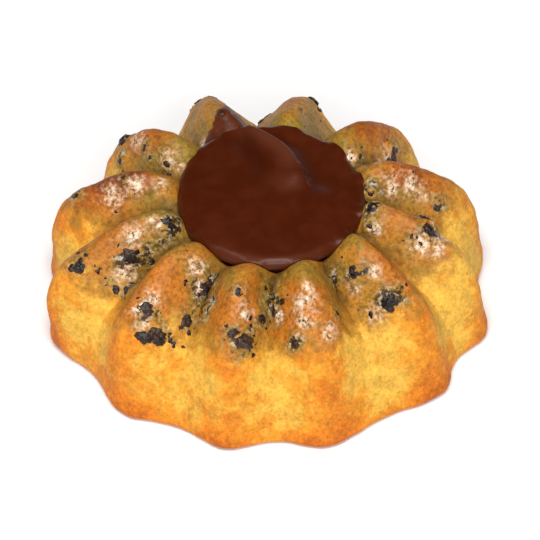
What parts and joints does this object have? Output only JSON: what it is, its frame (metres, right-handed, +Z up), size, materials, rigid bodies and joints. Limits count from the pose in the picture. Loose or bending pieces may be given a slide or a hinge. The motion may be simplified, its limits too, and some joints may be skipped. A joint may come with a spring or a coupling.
{
  "type": "mini bundt cake",
  "caption": "Small ribbed ring-shaped cake of golden sponge with dark chocolate flakes baked into its crown and a smooth chocolate filling in its well.",
  "frame": {"origin": "middle of the foot's ring of rib tips, on the surface the cake stands on", "axes": "+Z up through the filling, -Y towards the side the picture shows, +X to its right"},
  "size_m": [0.072, 0.0714, 0.0256],
  "materials": {
    "cake": "dry golden sponge crust, browned on the ribs, with dark flakes in the crown",
    "chocolate_filling": "smooth set chocolate with a soft satin shine"
  },
  "bodies": {
    "root": {"cake": "cake", "chocolate_filling": "chocolate_filling"}
  },
  "joints": []
}
